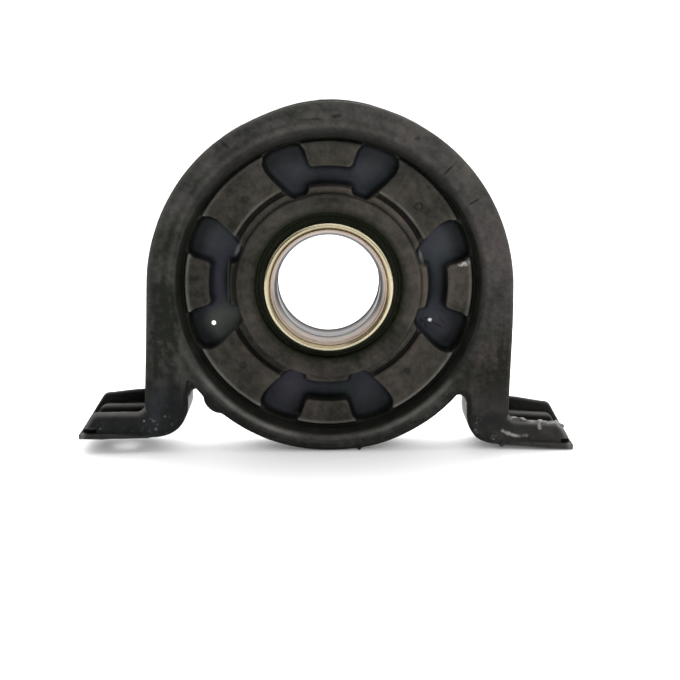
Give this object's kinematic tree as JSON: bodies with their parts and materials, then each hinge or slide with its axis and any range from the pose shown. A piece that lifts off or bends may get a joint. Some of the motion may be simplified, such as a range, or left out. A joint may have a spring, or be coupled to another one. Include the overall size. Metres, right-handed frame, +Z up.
{
  "type": "driveshaft centre bearing",
  "caption": "Arched steel channel bracket on two bolt-down feet, holding a moulded rubber ring with a sealed ball bearing that carries a drive shaft at its middle.",
  "frame": {"origin": "middle of the shaft bore, on the shaft axis", "axes": "+Z up from the feet to the top of the arch, +Y along the shaft axis from the front (skinned) face to the back, +X across the feet"},
  "size_m": [0.2946, 0.0394, 0.2068],
  "materials": {
    "black_steel": "semi-gloss black coating, scuffed along the feet",
    "rubber": "matte moulded black rubber with a brown bloom",
    "bearing_steel": "ground",
    "yellow_zinc": "yellow zinc plating, satin",
    "seal_rubber": "smooth dark olive",
    "cage_steel": "pressed sheet",
    "ball_steel": "polished"
  },
  "bodies": {
    "support": {"bracket": "black_steel", "rubber_cushion": "rubber", "bearing_outer_ring": "bearing_steel", "front_seal": "seal_rubber", "rear_seal": "seal_rubber"},
    "shaft_side": {"bearing_inner_ring": "bearing_steel", "front_flinger": "yellow_zinc", "rear_flinger": "yellow_zinc"},
    "cage": {"cage_front_half": "cage_steel", "cage_rear_half": "cage_steel", "cage_rivets": "cage_steel", "ball_01": "ball_steel", "ball_02": "ball_steel", "ball_03": "ball_steel", "ball_04": "ball_steel", "ball_05": "ball_steel", "ball_06": "ball_steel", "ball_07": "ball_steel", "ball_08": "ball_steel", "ball_09": "ball_steel", "ball_10": "ball_steel", "ball_11": "ball_steel", "ball_12": "ball_steel"}
  },
  "joints": [
    {"name": "inner_ring_spin", "type": "hinge", "parent": "support", "child": "shaft_side", "pos_m": [0, 0, 0], "axis": [0, 1, 0], "continuous": true},
    {"name": "cage_orbit", "type": "hinge", "parent": "support", "child": "cage", "pos_m": [0, 0, 0], "axis": [0, 1, 0], "continuous": true}
  ],
  "couplings": [
    {"joint": "cage_orbit", "follows": "inner_ring_spin", "ratio": 0.42949}
  ]
}
